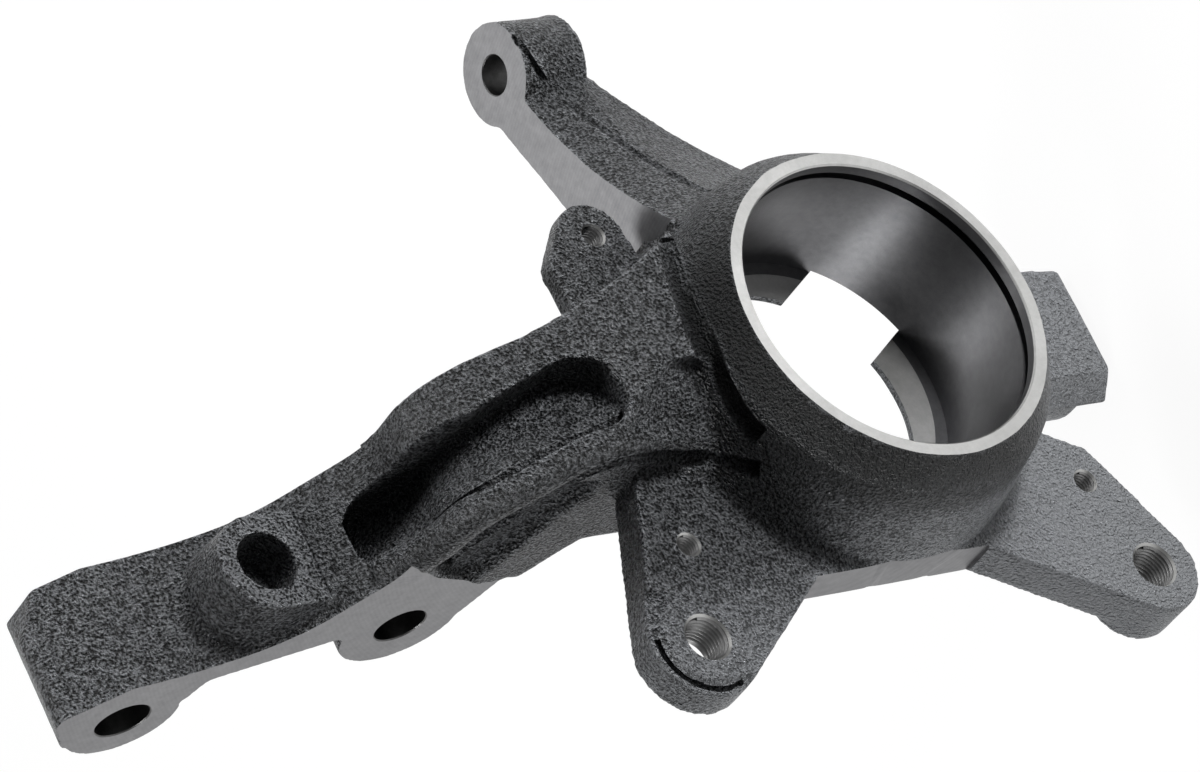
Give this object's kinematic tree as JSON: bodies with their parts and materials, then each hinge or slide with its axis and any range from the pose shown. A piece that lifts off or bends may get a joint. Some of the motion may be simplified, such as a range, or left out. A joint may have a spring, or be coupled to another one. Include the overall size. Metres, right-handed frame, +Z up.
{
  "type": "steering knuckle",
  "caption": "Front steering knuckle casting with bearing bore, strut clamp arm, steering arm, caliper ears and lower ball-joint lug.",
  "frame": {"origin": "on the wheel bearing's axis, at the outboard face of the hub ring", "axes": "-Y points outboard towards the wheel along the bearing axis, +Z up towards the strut clamp, +X towards the steering arm's tie-rod end"},
  "size_m": [0.213, 0.1401, 0.2972],
  "materials": {
    "casting": "black coated cast iron with machined faces and bores"
  },
  "bodies": {
    "root": {"knuckle": "casting"}
  },
  "joints": []
}
